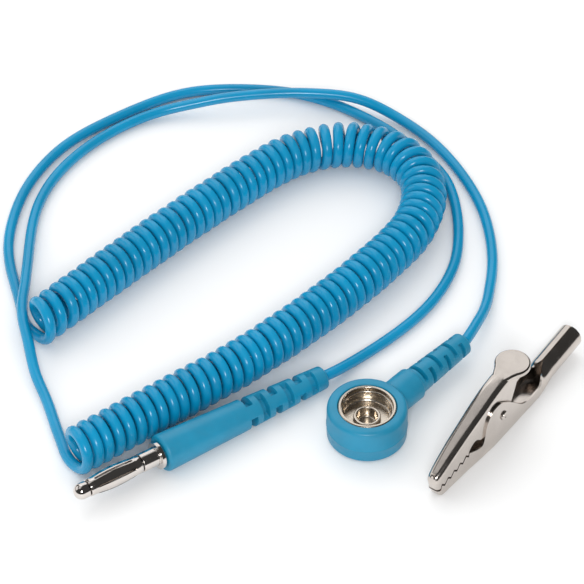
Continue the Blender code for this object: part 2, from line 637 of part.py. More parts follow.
CORD = material("cord_jacket", (0.02, 0.36, 0.66), 0.3, 0.0)
RUBBER = material("moulded_ends", (0.03, 0.33, 0.56), 0.5, 0.0)
NICKEL = material("nickel_plate", (0.72, 0.69, 0.66), 0.18, 1.0)
STEEL = material("spring_steel", (0.55, 0.54, 0.53), 0.3, 1.0)
BRASS = material("tinned_brass", (0.72, 0.6, 0.38), 0.35, 1.0)
COPPER = material("tinned_copper", (0.7, 0.45, 0.32), 0.4, 1.0)
RESISTOR = material("resistor_lacquer", (0.62, 0.5, 0.34), 0.45, 0.0)

ARM_FRAME = frame_along("arm_frame", Vector((0, 0, ARM_Z)), ARM_HEADING)
PLUG_FRAME = frame_along("plug_frame", PLUG_PLACE, PLUG_HEADING, PLUG_PITCH)
CLIP_FRAME = frame_at("clip_frame", CLIP_PLACE)
UPPER_FRAME = frame_at("clip_pivot", CLIP_PLACE + Vector((0, 0, PIVOT_Z)))
bpy.context.view_layer.update()

snap_body()
snap_socket_cup()
snap_spring_ring()
snap_eyelet()
snap_solder_tag()
snap_conductor()
plug_body()
banana_pin()
banana_spring_cage()
plug_insides()
cord()
clip_lower_jaw()
clip_upper_jaw()
clip_pivot_pin()
clip_spring()

for part in PARTS.objects:
    if part.type == "MESH":
        part.data.shade_smooth()
        part.data.set_sharp_from_angle(angle=math.radians(35))
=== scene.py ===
"""The looks of the coiled grounding cord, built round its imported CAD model. Metres, in the CAD's frame."""

import math

import bmesh
import bpy
import numpy as np
from mathutils import Matrix, Vector


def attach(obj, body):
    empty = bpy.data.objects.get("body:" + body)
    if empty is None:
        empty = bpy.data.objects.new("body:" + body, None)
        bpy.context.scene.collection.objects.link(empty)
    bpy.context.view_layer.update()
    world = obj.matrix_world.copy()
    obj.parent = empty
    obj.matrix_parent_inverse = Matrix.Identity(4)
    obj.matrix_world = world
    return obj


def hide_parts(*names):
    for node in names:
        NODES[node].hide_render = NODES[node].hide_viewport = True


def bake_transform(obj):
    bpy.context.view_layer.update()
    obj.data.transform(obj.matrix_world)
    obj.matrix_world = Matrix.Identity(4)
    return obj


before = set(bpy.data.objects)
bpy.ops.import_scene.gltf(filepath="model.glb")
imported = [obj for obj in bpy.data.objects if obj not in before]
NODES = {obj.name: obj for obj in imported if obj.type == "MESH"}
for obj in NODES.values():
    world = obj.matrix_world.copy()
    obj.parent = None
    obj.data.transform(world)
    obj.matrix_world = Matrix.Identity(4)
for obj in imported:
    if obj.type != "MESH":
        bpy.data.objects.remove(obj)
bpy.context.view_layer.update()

MM = 0.001
UP = Vector((0, 0, 1))

# Camera
TARGET = Vector((-37.39, 25.68, 0)) * MM
AZIMUTH = math.radians(35.4)
ELEVATION = math.radians(44)
DISTANCE = 0.7
LENS = 197.6
SENSOR = 36

# Cord
CORD_D = 2.38 * MM
LEAD_STEP = 1.5 * MM
AXIS_STEP = 0.25 * MM
INTO_RELIEF = 0.9 * MM  # how far each lead runs on into its strain relief
HELIX_R = 3.97 * MM
TURNS = 81
TURN_POINTS = 26
CLOSEST_PITCH = 2.42 * MM  # turns can't be nearer than this on the inside of the bend
START_OVERRUN, END_OVERRUN = 1.95 * MM, 0.75 * MM  # how far the helix runs past each end of the coil's axis
LEANING_TURNS = 3  # the last turns lean over and stand a little apart
LEAN = math.tan(math.radians(12))
SPREAD = 1.1 * MM  # the last turn's shift along the axis

# Stud socket
HEAD_R = 8.5 * MM
HEAD_H = 8.4 * MM
POCKET_R = 6.22 * MM
ARM_HEADING = math.radians(82.8)
ARM_Z = 4.2 * MM
ARM_R = 3.7 * MM
ARM_NECK = 14.3 * MM
ARM_END = 30.6 * MM
BORE_R = 1.32 * MM  # the hole that the cord leaves each moulding by
BORE_DEPTH = 2 * MM
RING_R = 5.35 * MM
RING_Z = 7.15 * MM
RING_WIRE_R = 0.33 * MM
RING_SPLIT = math.radians(202)
RING_HALF_GAP = math.radians(8)

# Banana plug
PLUG_PLACE = Vector((-29.17, -32.61, 4.2)) * MM
PLUG_HEADING = math.radians(250.6)
PLUG_PITCH = math.radians(2.2)
SLEEVE_R = 4.1 * MM
SLEEVE_REAR_R = 3.4 * MM
SLEEVE_L = 20.0 * MM
PLUG_END = 41.1 * MM
PIN_R = 2.0 * MM
BALL_R = 1.75 * MM
TIP = 20.9 * MM
CAGE_FRONT = 17.7 * MM
CAGE_REAR = 5.3 * MM
CAGE_BULGE_R = 2.25 * MM
CAGE_WALL = 0.28 * MM
CAGE_LEAVES = 6
CAGE_SLOT_HALF = 0.24 * MM
PLUG_SLOT_TURN = math.radians(135)  # where the first pair of slots is, round the plug's axis
PLUG_SEAM_TURN = math.radians(94)

# Strain relief
RELIEF_END_R = 2.55 * MM
CORE_R = 1.8 * MM
SLOT_PAIRS = 6
SNAP_SLOT_W, SNAP_SLOT_FIRST, SNAP_SLOT_PITCH = 0.9 * MM, 1.65 * MM, 2.45 * MM
PLUG_SLOT_W, PLUG_SLOT_FIRST, PLUG_SLOT_PITCH = 1.55 * MM, 1.45 * MM, 3.2 * MM
SLOT_HALF_ANGLE = math.radians(62)
SLOT_EDGE = 0.09 * MM  # over which a slot's wall falls away

# Crocodile clip
CLIP_PLACE = Vector((21.16, 15.18, 0.0)) * MM
PIVOT_Z = 7.1 * MM
SHEET = 0.4 * MM
LOWER_LEAN = 0.52
UPPER_LEAN = 0.28
LEAN_END = -10 * MM
WALL_START = 0.9 * MM  # the height at which the lower jaw's walls are clear of its floor
TEETH = 10
TOOTH_FRONT = -22.2 * MM
TOOTH_Z = 3.1 * MM
TOOTH_RISE = 0.19
TOOTH_PITCH = 1.03 * MM
TOOTH_DEPTH = 0.55 * MM
TOOTH_GAP = 0.26 * MM
BARREL_Y = (20.0, 30.85)  # the barrel's ends, the heights of its middle there and its radius, in millimetres
BARREL_Z = (3.05, 3.95)
BARREL_R = 2.7
BARREL_SLOPE = 0.083
BARREL_EDGE = 6.1  # how high the sheet's edge is there before it is rolled up
BARREL_SEAM = math.radians(2.5)
CURL_START = 14.2  # where the lower jaw starts to roll up, in millimetres
SPRING_R = 1.45 * MM
SPRING_HALF = 0.95 * MM
SPRING_TURNS = 3
SPRING_STEPS = 110
WIRE_R = 0.275 * MM

# Light
ROOM_ON_MATT = 0.79
ROOM_IN_REFLECTIONS = 0.05
AIM = (-0.03, 0.02, 0)
LIGHTS = {  # place, size and power
    "key": ((0.31, -0.47, 0.45), (0.18, 0.18), 1.9),
    "back_box": ((-0.54, 0.58, 0.54), (0.85, 0.85), 2.3),
    "top_box": ((-0.42, 0.0, 0.97), (0.95, 0.5), 0.92),
    "left_box": ((-0.86, -0.28, 0.42), (0.8, 0.6), 1.3),
}

# Routes, in millimetres
SNAP_LEAD_ROUTE = [
    (3.9, 30.8, 4.2), (3.7, 32.7, 4.1), (3.1, 35.6, 3.7), (2.2, 39.2, 3.0), (1.2, 42.7, 2.3),
    (-0.2, 46.4, 1.7), (-2.0, 50.2, 1.4), (-6.2, 57.9, 1.3), (-14.4, 68.1, 1.3), (-22.3, 74.8, 1.3),
    (-31.5, 80.3, 1.3), (-40.6, 83.9, 1.4), (-49.6, 85.4, 1.8), (-56.8, 84.6, 3.2), (-62.4, 82.6, 4.1),
    (-68.2, 79.4, 4.3), (-73.6, 75.8, 4.3), (-79.6, 70.8, 4.3), (-85.5, 65.4, 4.0), (-90.3, 60.9, 3.1),
    (-96.0, 54.9, 1.9), (-100.4, 45.5, 1.4), (-102.4, 34.9, 1.3), (-102.0, 24.3, 1.3), (-99.2, 14.7, 1.4),
    (-94.8, 6.7, 1.9), (-88.6, -2.2, 3.1), (-83.0, -10.3, 4.1), (-78.3, -16.9, 4.3), (-72.5, -22.2, 3.6),
    (-66.2, -27.7, 2.1), (-59.8, -32.0, 1.4), (-52.9, -37.3, 1.3), (-49.3, -40.0, 1.3), (-46.3, -42.2, 1.3),
    (-43.3, -43.3, 1.3),
]
PLUG_LEAD_ROUTE = [
    (-15.4, 6.5, 2.6), (-14.5, 9.7, 2.2), (-13.7, 14.1, 1.5), (-12.4, 19.7, 1.3), (-10.7, 28.5, 1.3),
    (-10.1, 39.8, 1.3), (-12.4, 51.7, 1.3), (-16.2, 59.4, 1.3), (-20.8, 66.0, 1.3), (-27.6, 73.1, 1.3),
    (-33.0, 76.4, 1.3), (-38.8, 78.5, 1.3), (-44.3, 79.9, 1.3), (-49.9, 81.0, 1.3), (-54.9, 81.5, 1.3),
    (-62.0, 81.6, 1.3), (-68.6, 80.8, 1.3), (-75.7, 78.8, 1.3), (-85.9, 73.1, 1.3), (-94.1, 66.2, 1.3),
    (-99.0, 58.8, 1.3), (-103.1, 48.7, 1.3), (-106.2, 37.9, 1.3), (-106.8, 28.4, 1.3), (-104.9, 17.4, 1.3),
    (-101.0, 7.9, 1.3), (-96.4, 0.5, 1.3), (-90.8, -5.5, 1.3), (-85.0, -10.4, 1.3), (-80.9, -14.1, 1.3),
    (-78.4, -16.3, 1.3), (-75.9, -17.5, 1.3), (-73.0, -18.1, 1.3),
]
COIL_ROUTE = [
    (-42.7, -41.4, 5.25), (-40.8, -35.3, 5.25), (-35.8, -19.1, 5.25), (-31.0, -3.6, 5.25),
    (-27.0, 15.2, 5.25), (-24.6, 32.6, 5.25), (-23.8, 48.4, 5.25), (-24.5, 54.3, 5.25),
    (-27.1, 61.6, 5.25), (-31.2, 67.2, 5.25), (-35.5, 70.0, 5.25), (-41.4, 71.3, 5.25),
    (-47.2, 70.1, 5.25), (-53.3, 66.6, 5.25), (-57.7, 61.3, 5.25), (-60.7, 55.4, 5.25),
    (-64.7, 38.5, 5.25), (-67.9, 19.9, 5.25), (-70.6, 0.6, 5.25), (-72.8, -16.2, 5.25),
]


# ---------------------------------------------------------------- camera


def make_camera():
    data = bpy.data.cameras.new("camera")
    data.sensor_width = SENSOR
    data.lens = LENS
    data.clip_start = 0.01
    data.clip_end = 20
    camera = link(bpy.data.objects.new("camera", data))
    level = Vector((math.sin(AZIMUTH), -math.cos(AZIMUTH), 0))
    back = level * math.cos(ELEVATION) + UP * math.sin(ELEVATION)
    camera.location = TARGET + back * DISTANCE
    camera.rotation_euler = (-back).to_track_quat("-Z", "Y").to_euler()
    bpy.context.scene.camera = camera


# ---------------------------------------------------------------- materials


class Surface:
    """A node material whose colour, roughness and relief vary in the piece's own coordinates."""

    def __init__(self, name, colour, roughness, metallic=0.0):
        self.material = bpy.data.materials.new(name)
        self.material.use_nodes = True
        self.tree = self.material.node_tree
        self.shader = self.tree.nodes["Principled BSDF"]
        self.coordinates = self.tree.nodes.new("ShaderNodeTexCoord").outputs["Object"]
        self.colour = colour
        self.relief = None
        self.set("Base Color", (*colour, 1))
        self.set("Roughness", roughness)
        self.set("Metallic", metallic)

    def set(self, socket, value):
        self.shader.inputs[socket].default_value = value

    def noise(self, scale, detail, roughness=0.5):
        texture = self.tree.nodes.new("ShaderNodeTexNoise")
        texture.inputs["Scale"].default_value = scale
        texture.inputs["Detail"].default_value = detail
        texture.inputs["Roughness"].default_value = roughness
        self.tree.links.new(self.coordinates, texture.inputs["Vector"])
        return texture.outputs["Fac"]

    def vary_colour(self, source, dark, light):
        """Between the colour times dark and the colour times light, over the middle of the source's span."""
        ramp = self.tree.nodes.new("ShaderNodeValToRGB")
        first, last = ramp.color_ramp.elements
        first.position, last.position = 0.35, 0.65
        first.color = (*[c * dark for c in self.colour], 1)
        last.color = (*[min(1, c * light) for c in self.colour], 1)
        self.tree.links.new(source, ramp.inputs["Fac"])
        self.tree.links.new(ramp.outputs["Color"], self.shader.inputs["Base Color"])

    def vary_roughness(self, source, smooth, rough):
        span = self.tree.nodes.new("ShaderNodeMapRange")
        span.inputs["From Min"].default_value = 0.3
        span.inputs["From Max"].default_value = 0.7
        span.inputs["To Min"].default_value = smooth
        span.inputs["To Max"].default_value = rough
        self.tree.links.new(source, span.inputs["Value"])
        self.tree.links.new(span.outputs["Result"], self.shader.inputs["Roughness"])

    def add_relief(self, source, depth):
        bump = self.tree.nodes.new("ShaderNodeBump")
        bump.inputs["Distance"].default_value = depth
        self.tree.links.new(source, bump.inputs["Height"])
        if self.relief:
            self.tree.links.new(self.relief, bump.inputs["Normal"])
        self.relief = bump.outputs["Normal"]
        self.tree.links.new(self.relief, self.shader.inputs["Normal"])


def jacket_material():
    made = Surface("cord_jacket", (0.002, 0.265, 0.49), 0.21)
    made.vary_colour(made.noise(90, 3), 0.94, 1.06)
    made.vary_roughness(made.noise(500, 3), 0.17, 0.26)
    made.add_relief(made.noise(240, 2), 0.01 * MM)
    return made.material


def moulding_material():
    made = Surface("moulded_ends", (0.002, 0.235, 0.4), 0.42)
    made.set("Specular IOR Level", 0.6)
    made.vary_colour(made.noise(160, 5), 0.93, 1.06)
    made.vary_roughness(made.noise(700, 3), 0.36, 0.48)
    made.add_relief(made.noise(1800, 2), 0.003 * MM)
    made.add_relief(made.noise(260, 3), 0.025 * MM)
    return made.material


def nickel_material(name, colour, smooth, rough, wave):
    """Nickel plate with drifting tone and polish, and the slight waviness of pressed or turned metal."""
    made = Surface(name, colour, smooth, 1.0)
    made.vary_colour(made.noise(180, 4), 0.93, 1.03)
    made.vary_roughness(made.noise(420, 4, 0.6), smooth, rough)
    made.add_relief(made.noise(220, 2), wave)
    return made.material


def steel_material():
    made = Surface("spring_steel", (0.56, 0.55, 0.54), 0.28, 1.0)
    made.vary_colour(made.noise(700, 3), 0.85, 1.08)
    made.vary_roughness(made.noise(1400, 3), 0.2, 0.36)
    made.add_relief(made.noise(4000, 2), 0.006 * MM)
    return made.material


def hidden_material(name, colour, roughness, metallic):
    """For the small internal pieces."""
    made = Surface(name, colour, roughness, metallic)
    made.vary_colour(made.noise(900, 3), 0.82, 1.1)
    made.vary_roughness(made.noise(1500, 3), roughness * 0.8, roughness * 1.2)
    made.add_relief(made.noise(5000, 2), 0.01 * MM)
    return made.material


# ---------------------------------------------------------------- shapes


def link(obj):
    bpy.context.scene.collection.objects.link(obj)
    return obj


def mesh_object(name, points, faces, finish):
    mesh = bpy.data.meshes.new(name)
    mesh.from_pydata([tuple(p) for p in points], [], faces)
    shape = bmesh.new()
    shape.from_mesh(mesh)
    bmesh.ops.remove_doubles(shape, verts=shape.verts, dist=1e-7)
    bmesh.ops.recalc_face_normals(shape, faces=shape.faces)
    shape.to_mesh(mesh)
    shape.free()
    mesh.shade_smooth()
    mesh.materials.append(finish)
    return link(bpy.data.objects.new(name, mesh))


def frame_along(place, heading, pitch=0.0):
    """The matrix of a frame whose +Z has this heading and pitch, with +Y as near up as can be."""
    level = Vector((math.cos(heading), math.sin(heading), 0))
    ahead = level * math.cos(pitch) + UP * math.sin(pitch)
    side = UP.cross(ahead).normalized()
    above = ahead.cross(side)
    return Matrix.Translation(place) @ Matrix((side, above, ahead)).transposed().to_4x4()


def rounded(profile, closed=False):
    """The profile with each corner that names a radius rounded off."""
    points = []
    count = len(profile)
    for i, corner in enumerate(profile):
        here = Vector(corner[:2])
        radius = corner[2] if len(corner) > 2 else 0
        if not radius or (not closed and i in (0, count - 1)):
            points.append(here)
            continue
        before = Vector(profile[i - 1][:2]) - here
        after = Vector(profile[(i + 1) % count][:2]) - here
        reach = radius / math.tan(before.angle(after) / 2)
        reach = min(reach, 0.49 * before.length, 0.49 * after.length)
        start, end = here + before.normalized() * reach, here + after.normalized() * reach
        for t in np.linspace(0, 1, 6):
            points.append(start * (1 - t) ** 2 + here * 2 * t * (1 - t) + end * t**2)
    return points


def lathe(name, profile, finish, steps=96, closed=False, place=None, shape=None):
    """A profile of (radius, height) turned about Z. shape(radius, height, angle) gives the final radius."""
    points = []
    for radius, height in profile:
        for k in range(steps):
            angle = 2 * math.pi * k / steps
            r = shape(radius, height, angle) if shape else radius
            points.append((r * math.cos(angle), r * math.sin(angle), height))
    rows = len(profile)
    faces = []
    for i in range(rows if closed else rows - 1):
        for k in range(steps):
            a, b = i * steps + k, i * steps + (k + 1) % steps
            c, d = (i + 1) % rows * steps + (k + 1) % steps, (i + 1) % rows * steps + k
            faces.append((a, b, c, d))
    obj = mesh_object(name, points, faces, finish)
    if place:
        obj.data.transform(place)
    return obj


def tube(name, points, radius, finish, sides=4):
    curve = bpy.data.curves.new(name, "CURVE")
    curve.dimensions = "3D"
    curve.bevel_depth = radius
    curve.bevel_resolution = sides
    curve.use_fill_caps = True
    spline = curve.splines.new("POLY")
    spline.points.add(len(points) - 1)
    for point, place in zip(spline.points, points):
        point.co = (*place, 1)
    spline.use_smooth = True
    curve.materials.append(finish)
    return link(bpy.data.objects.new(name, curve))


def as_mesh(obj):
    """The object with its modifiers applied, or its curve made a mesh, under the same name."""
    graph = bpy.context.evaluated_depsgraph_get()
    mesh = bpy.data.meshes.new_from_object(obj.evaluated_get(graph))
    mesh.transform(obj.matrix_world)
    shape = bmesh.new()
    shape.from_mesh(mesh)
    bmesh.ops.remove_doubles(shape, verts=shape.verts, dist=1e-7)
    shape.to_mesh(mesh)
    shape.free()
    name = obj.name
    bpy.data.objects.remove(obj)
    mesh.name = name
    return link(bpy.data.objects.new(name, mesh))


def combine(obj, others, operation):
    for other in others:
        step = obj.modifiers.new(other.name, "BOOLEAN")
        step.operation = operation
        step.solver = "EXACT"
        step.object = other
    made = as_mesh(obj)
    for other in others:
        bpy.data.objects.remove(other)
    return made


def sharpen(obj, degrees):
    obj.data.shade_smooth()
    obj.data.set_sharp_from_angle(angle=math.radians(degrees))


def hand_over(obj, body, node, degrees=50):
    """The finished piece is shaded, goes to its body and stands for its node."""
    sharpen(obj, degrees)
    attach(obj, body)
    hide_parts(node)


def smooth_line(knots, step):
    """Evenly spaced points on a natural cubic spline through the knots."""
    knots = np.array(knots)
    lengths = np.linalg.norm(np.diff(knots, axis=0), axis=1)
    at = np.concatenate([[0], np.cumsum(np.sqrt(lengths))])
    gaps = np.diff(at)
    count = len(knots)
    system = np.eye(count)
    right = np.zeros((count, 3))
    for i in range(1, count - 1):
        system[i, i - 1 : i + 2] = gaps[i - 1], 2 * (gaps[i - 1] + gaps[i]), gaps[i]
        right[i] = 6 * ((knots[i + 1] - knots[i]) / gaps[i] - (knots[i] - knots[i - 1]) / gaps[i - 1])
    bend = np.linalg.solve(system, right)
    fine = []
    for i in range(count - 1):
        for t in np.linspace(0, gaps[i], 24, endpoint=i == count - 2):
            back, ahead = gaps[i] - t, t
            fine.append(
                (bend[i] * back**3 + bend[i + 1] * ahead**3) / (6 * gaps[i])
                + (knots[i] / gaps[i] - bend[i] * gaps[i] / 6) * back
                + (knots[i + 1] / gaps[i] - bend[i + 1] * gaps[i] / 6) * ahead
            )
    fine = np.array(fine)
    run = np.concatenate([[0], np.cumsum(np.linalg.norm(np.diff(fine, axis=0), axis=1))])
    places = np.linspace(0, run[-1], round(run[-1] / step) + 1)
    return np.array([[np.interp(s, run, fine[:, k]) for k in range(3)] for s in places])


def smoothstep(x):
    x = min(1.0, max(0.0, x))
    return x * x * (3 - 2 * x)


# ---------------------------------------------------------------- cord


def helix():
    """The coil's centreline. It starts and ends underneath, and its turns close up in the bend."""
    axis = smooth_line(np.array(COIL_ROUTE) * MM, AXIS_STEP)
    step = np.linalg.norm(axis[1] - axis[0])
    before, after = round(START_OVERRUN / step), round(END_OVERRUN / step)
    first, last = axis[0] - axis[1], axis[-1] - axis[-2]
    lead_in = [axis[0] + first * k for k in range(before, 0, -1)]
    lead_out = [axis[-1] + last * k for k in range(1, after + 1)]
    axis = np.concatenate([lead_in, axis, lead_out])
    along = np.gradient(axis, axis=0)
    along /= np.linalg.norm(along, axis=1)[:, None]
    bend = np.linalg.norm(np.gradient(along, axis=0), axis=1) / step
    reach = 30
    window = np.hanning(2 * reach + 1)
    bend = np.convolve(np.pad(bend, reach, mode="edge"), window / window.sum(), "valid")
    closest = CLOSEST_PITCH / (1 - HELIX_R * bend)

    def turned_at(pitch):
        return np.concatenate([[0], np.cumsum(step / np.maximum(pitch, closest))[:-1]])

    low, high = 2 * MM, 5 * MM
    for _ in range(50):
        middle = (low + high) / 2
        low, high = (middle, high) if turned_at(middle)[-1] > TURNS else (low, middle)
    turned = turned_at(low)
    turned *= TURNS / turned[-1]
    where = np.linspace(0, TURNS, TURNS * TURN_POINTS + 1)
    # the real coil isn't perfect: its turns vary a little in place and size
    slip = 0.035 * np.sin(2.1 * where) * np.sin(0.37 * where + 1) + 0.03 * np.sin(0.83 * where + 2)
    swell = 1 + 0.008 * np.sin(1.3 * where + 0.5) + 0.008 * np.sin(0.29 * where)
    fade = np.clip(np.minimum(where, TURNS - where) / 2, 0, 1)
    spot = np.interp(where + slip * fade, turned, np.arange(len(axis)))
    centre = np.array([np.interp(spot, np.arange(len(axis)), axis[:, k]) for k in range(3)]).T
    ahead = np.array([np.interp(spot, np.arange(len(axis)), along[:, k]) for k in range(3)]).T
    right = np.cross(ahead, UP)
    right /= np.linalg.norm(right, axis=1)[:, None]
    angle = 2 * math.pi * where
    radius = HELIX_R * (1 + (swell - 1) * fade)
    out = right * np.sin(angle)[:, None] - np.array(UP) * np.cos(angle)[:, None]
    leaning = np.clip(1 - (TURNS - where) / LEANING_TURNS, 0, 1)
    sway = leaning * (SPREAD - LEAN * radius * np.sin(angle))
    return centre + ahead * sway[:, None] + out * radius[:, None]


def lead(route, coil_points):
    """A lead's centreline, run on into the coil's first points so that the two join in one line."""
    knots = np.concatenate([np.array(route[:-1]) * MM, coil_points[:9:4]])
    line = smooth_line(knots, LEAD_STEP)
    reach = np.linalg.norm(line - coil_points[0], axis=1).argmin()
    return line[:reach]


def make_cord(finish):
    coil = helix()
    start = lead(SNAP_LEAD_ROUTE, coil)
    end = lead(PLUG_LEAD_ROUTE, coil[::-1])
    # each end runs on into its strain relief
    snap_in = np.array(ARM_FRAME.to_3x3() @ Vector((0, 0, -1)))
    plug_in = np.array(PLUG_FRAME.to_3x3() @ Vector((0, 0, 1)))
    first, last = start[0] + snap_in * INTO_RELIEF, end[0] + plug_in * INTO_RELIEF
    points = np.concatenate([[first], start, coil, end[::-1], [last]])
    obj = tube("cord", points, CORD_D / 2, finish, 5)
    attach(obj, "cord_set")
    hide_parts("snap_lead", "coil", "plug_lead")


# ---------------------------------------------------------------- strain relief


def slotted(stations, first_angle, width, plain):
    """A lathe shape that sinks to the sheath in pairs of slots, each a quarter turn from the pair before."""
    angle_edge = math.radians(3.2)

    def shape(radius, height, angle):
        depth = 0.0
        for index, station in enumerate(stations):
            along = (width / 2 - abs(height - station)) / SLOT_EDGE
            if along < -1:
                continue
            centre = first_angle + index * math.pi / 2
            off = abs((angle - centre + math.pi / 2) % math.pi - math.pi / 2)
            across = (SLOT_HALF_ANGLE - off) / angle_edge
            depth = max(depth, smoothstep(0.5 + along / 2) * smoothstep(0.5 + across / 2))
        if radius < CORE_R or not plain(height):
            return radius
        return radius + (CORE_R - radius) * depth

    return shape


def slot_heights(stations, width):
    """Heights at which a slotted lathe needs rings."""
    found = []
    for station in stations:
        for side in (-1, 1):
            wall = station + side * width / 2
            found += [wall + side * SLOT_EDGE * t for t in (-1.1, -0.6, -0.25, 0, 0.25, 0.6, 1.1)]
        found += [station + width * t for t in (-0.25, 0, 0.25)]
    return found


# ---------------------------------------------------------------- stud socket


def make_snap_body(finish):
    profile = rounded([
        (0, 0), (HEAD_R - 0.75 * MM, 0, 0.5 * MM), (HEAD_R - 0.12 * MM, 0.55 * MM, 0.5 * MM),
        (HEAD_R - 0.04 * MM, 3.2 * MM), (HEAD_R + 0.03 * MM, 3.32 * MM), (HEAD_R - 0.04 * MM, 3.44 * MM),
        (HEAD_R - 0.08 * MM, HEAD_H, 1.1 * MM), (POCKET_R, HEAD_H, 0.25 * MM), (POCKET_R, 4.05 * MM),
        (4.6 * MM, 4.05 * MM), (4.6 * MM, 2.3 * MM), (0, 2.3 * MM),
    ])
    head = lathe("snap_moulding", profile, finish, 160)

    stations = [ARM_NECK + SNAP_SLOT_FIRST + SNAP_SLOT_PITCH * i for i in range(SLOT_PAIRS)]
    outer = rounded([
        (0, 7.7 * MM), (ARM_R - 0.02 * MM, 7.7 * MM), (ARM_R, ARM_NECK, 1.3 * MM),
        (3.12 * MM, ARM_NECK, 0.2 * MM), (RELIEF_END_R, ARM_END, 0.5 * MM), (BORE_R, ARM_END, 0.1 * MM),
        (BORE_R, ARM_END - BORE_DEPTH), (0, ARM_END - BORE_DEPTH),
    ])
    outer = outer_rings(outer, stations, SNAP_SLOT_W)
    slots = slotted(stations, math.pi / 2, SNAP_SLOT_W, lambda z: z > ARM_NECK + 0.1 * MM)
    arm = lathe("snap_arm", outer, finish, 144, place=ARM_FRAME, shape=slots)
    body = combine(head, [arm], "UNION")
    hand_over(body, "cord_set", "snap_body")


def outer_rings(profile, stations, width):
    """The profile with rings added at the slots' edges, along the straight run that they are all cut in."""
    for i, (start, end) in enumerate(zip(profile, profile[1:])):
        low, high = sorted((start.y, end.y))
        if low < min(stations) and max(stations) < high and min(start.x, end.x) > CORE_R:
            break
    span = end.y - start.y
    shares = sorted((height - start.y) / span for height in slot_heights(stations, width))
    rings = [start.lerp(end, share) for share in shares if 0.001 < share < 0.999]
    return profile[: i + 1] + rings + profile[i + 1 :]


def make_stud_cup(finish):
    profile = rounded([
        (5.9 * MM, 8.3 * MM, 0.1 * MM), (6.12 * MM, 8.14 * MM, 0.15 * MM), (6.15 * MM, 7.8 * MM, 0.1 * MM),
        (6.15 * MM, 4.35 * MM, 0.4 * MM), (2.75 * MM, 4.35 * MM), (2.75 * MM, 4.7 * MM, 0.1 * MM),
        (5.0 * MM, 4.7 * MM, 0.5 * MM), (5.3 * MM, 5.2 * MM, 0.3 * MM), (5.32 * MM, 6.2 * MM, 0.15 * MM),
        (5.83 * MM, 6.45 * MM, 0.25 * MM), (5.85 * MM, 7.7 * MM, 0.3 * MM),
        (5.5 * MM, 7.95 * MM, 0.15 * MM), (5.4 * MM, 8.1 * MM, 0.1 * MM), (5.5 * MM, 8.25 * MM, 0.1 * MM),
    ], True)
    cup = lathe("stud_cup", profile, finish, 128, True)
    hand_over(cup, "cord_set", "snap_socket_cup", 60)


def make_stud_eyelet(finish):
    profile = rounded([
        (0, 3.0 * MM), (2.2 * MM, 3.0 * MM, 0.5 * MM), (2.2 * MM, 5.55 * MM, 0.25 * MM),
        (2.85 * MM, 5.55 * MM, 0.25 * MM), (2.88 * MM, 4.98 * MM, 0.25 * MM),
        (2.45 * MM, 4.95 * MM, 0.1 * MM), (2.45 * MM, 3.0 * MM), (2.95 * MM, 3.0 * MM), (2.95 * MM, 2.7 * MM),
        (0, 2.7 * MM),
    ])
    eyelet = lathe("stud_eyelet", profile, finish, 96)
    hand_over(eyelet, "cord_set", "snap_eyelet", 60)


def make_stud_ring(finish):
    angles = np.linspace(RING_SPLIT + RING_HALF_GAP, RING_SPLIT + 2 * math.pi - RING_HALF_GAP, 120)
    line = [Vector((RING_R * math.cos(a), RING_R * math.sin(a), RING_Z)) for a in angles]
    ring = as_mesh(tube("stud_ring", line, RING_WIRE_R, finish, 6))
    hand_over(ring, "cord_set", "snap_spring_ring")


# ---------------------------------------------------------------- banana plug


def make_plug_body(finish):
    stations = [-SLEEVE_L - PLUG_SLOT_FIRST - PLUG_SLOT_PITCH * i for i in range(SLOT_PAIRS)]
    profile = rounded([
        (0, -1.5 * MM), (1.88 * MM, -1.5 * MM), (1.88 * MM, 0, 0.12 * MM), (SLEEVE_R, 0, 0.75 * MM),
        (SLEEVE_REAR_R + 0.03 * MM, -SLEEVE_L), (RELIEF_END_R, -PLUG_END, 0.5 * MM),
        (BORE_R, -PLUG_END, 0.1 * MM), (BORE_R, -PLUG_END + BORE_DEPTH), (0, -PLUG_END + BORE_DEPTH),
    ])
    profile = outer_rings(profile, stations, PLUG_SLOT_W)
    slots = slotted(stations, PLUG_SLOT_TURN, PLUG_SLOT_W, lambda z: z < -SLEEVE_L)

    def shape(radius, height, angle):
        from_seam = abs((angle - PLUG_SEAM_TURN + math.pi / 2) % math.pi - math.pi / 2)
        ridge = 0.02 * MM * (1 - min(from_seam / 0.03, 1)) if radius > 2 * MM else 0
        return slots(radius, height, angle) + ridge

    body = lathe("plug_moulding", profile, finish, 144, place=PLUG_FRAME, shape=shape)
    hand_over(body, "cord_set", "plug_body")


def make_pin(finish):
    ball_z = TIP - BALL_R
    quarter = np.linspace(0, math.pi / 2, 16)
    nose = [Vector((BALL_R * math.sin(a), ball_z + BALL_R * math.cos(a))) for a in quarter]
    waist_front, waist_rear = CAGE_FRONT + 0.3 * MM, CAGE_REAR - 0.3 * MM
    shank = rounded([
        (BALL_R, ball_z), (BALL_R, waist_front, 0.12 * MM), (1.15 * MM, waist_front), (1.15 * MM, waist_rear),
        (PIN_R, waist_rear, 0.15 * MM), (PIN_R, 1.2 * MM, 0.15 * MM), (3.0 * MM, 1.2 * MM, 0.15 * MM),
        (3.0 * MM, 0.3 * MM, 0.1 * MM), (1.55 * MM, 0.3 * MM), (1.55 * MM, -6 * MM), (1.3 * MM, -6 * MM),
        (1.3 * MM, -8.5 * MM), (0.7 * MM, -8.5 * MM), (0.7 * MM, -6.4 * MM), (0, -6.4 * MM),
    ])
    pin = lathe("pin", nose + shank[1:], finish, 96, place=PLUG_FRAME)
    hand_over(pin, "cord_set", "banana_pin")


